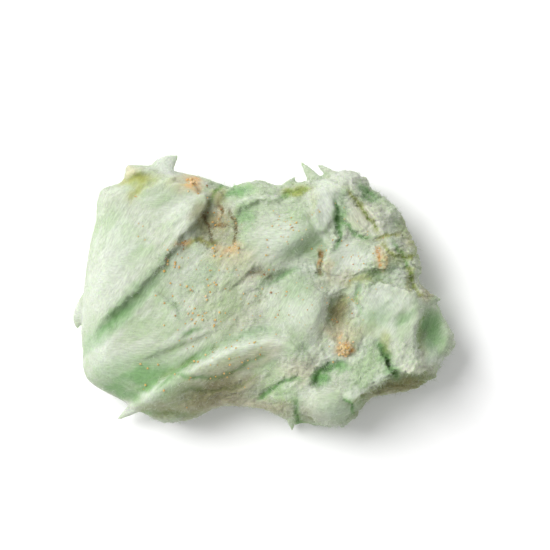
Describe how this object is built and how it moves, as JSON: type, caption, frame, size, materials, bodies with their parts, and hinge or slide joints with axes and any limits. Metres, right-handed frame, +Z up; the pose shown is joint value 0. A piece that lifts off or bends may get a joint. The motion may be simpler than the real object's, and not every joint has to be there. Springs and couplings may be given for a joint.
{
  "type": "cotton candy",
  "caption": "Torn clump of pale green spun sugar with folded flaps, creases, wisps and burnt sugar crumbs, resting on its flat underside.",
  "frame": {"origin": "bottom centre of the bounding box, on the face that the clump rests on", "axes": "+X along the clump's length, towards its pointed end; +Y across it, towards the top of the picture; +Z up"},
  "size_m": [0.1509, 0.11, 0.0434],
  "materials": {
    "spun_sugar": "soft matte fibres, pale green with cream edges and amber crumbs"
  },
  "bodies": {
    "root": {"cotton_candy": "spun_sugar"}
  },
  "joints": []
}
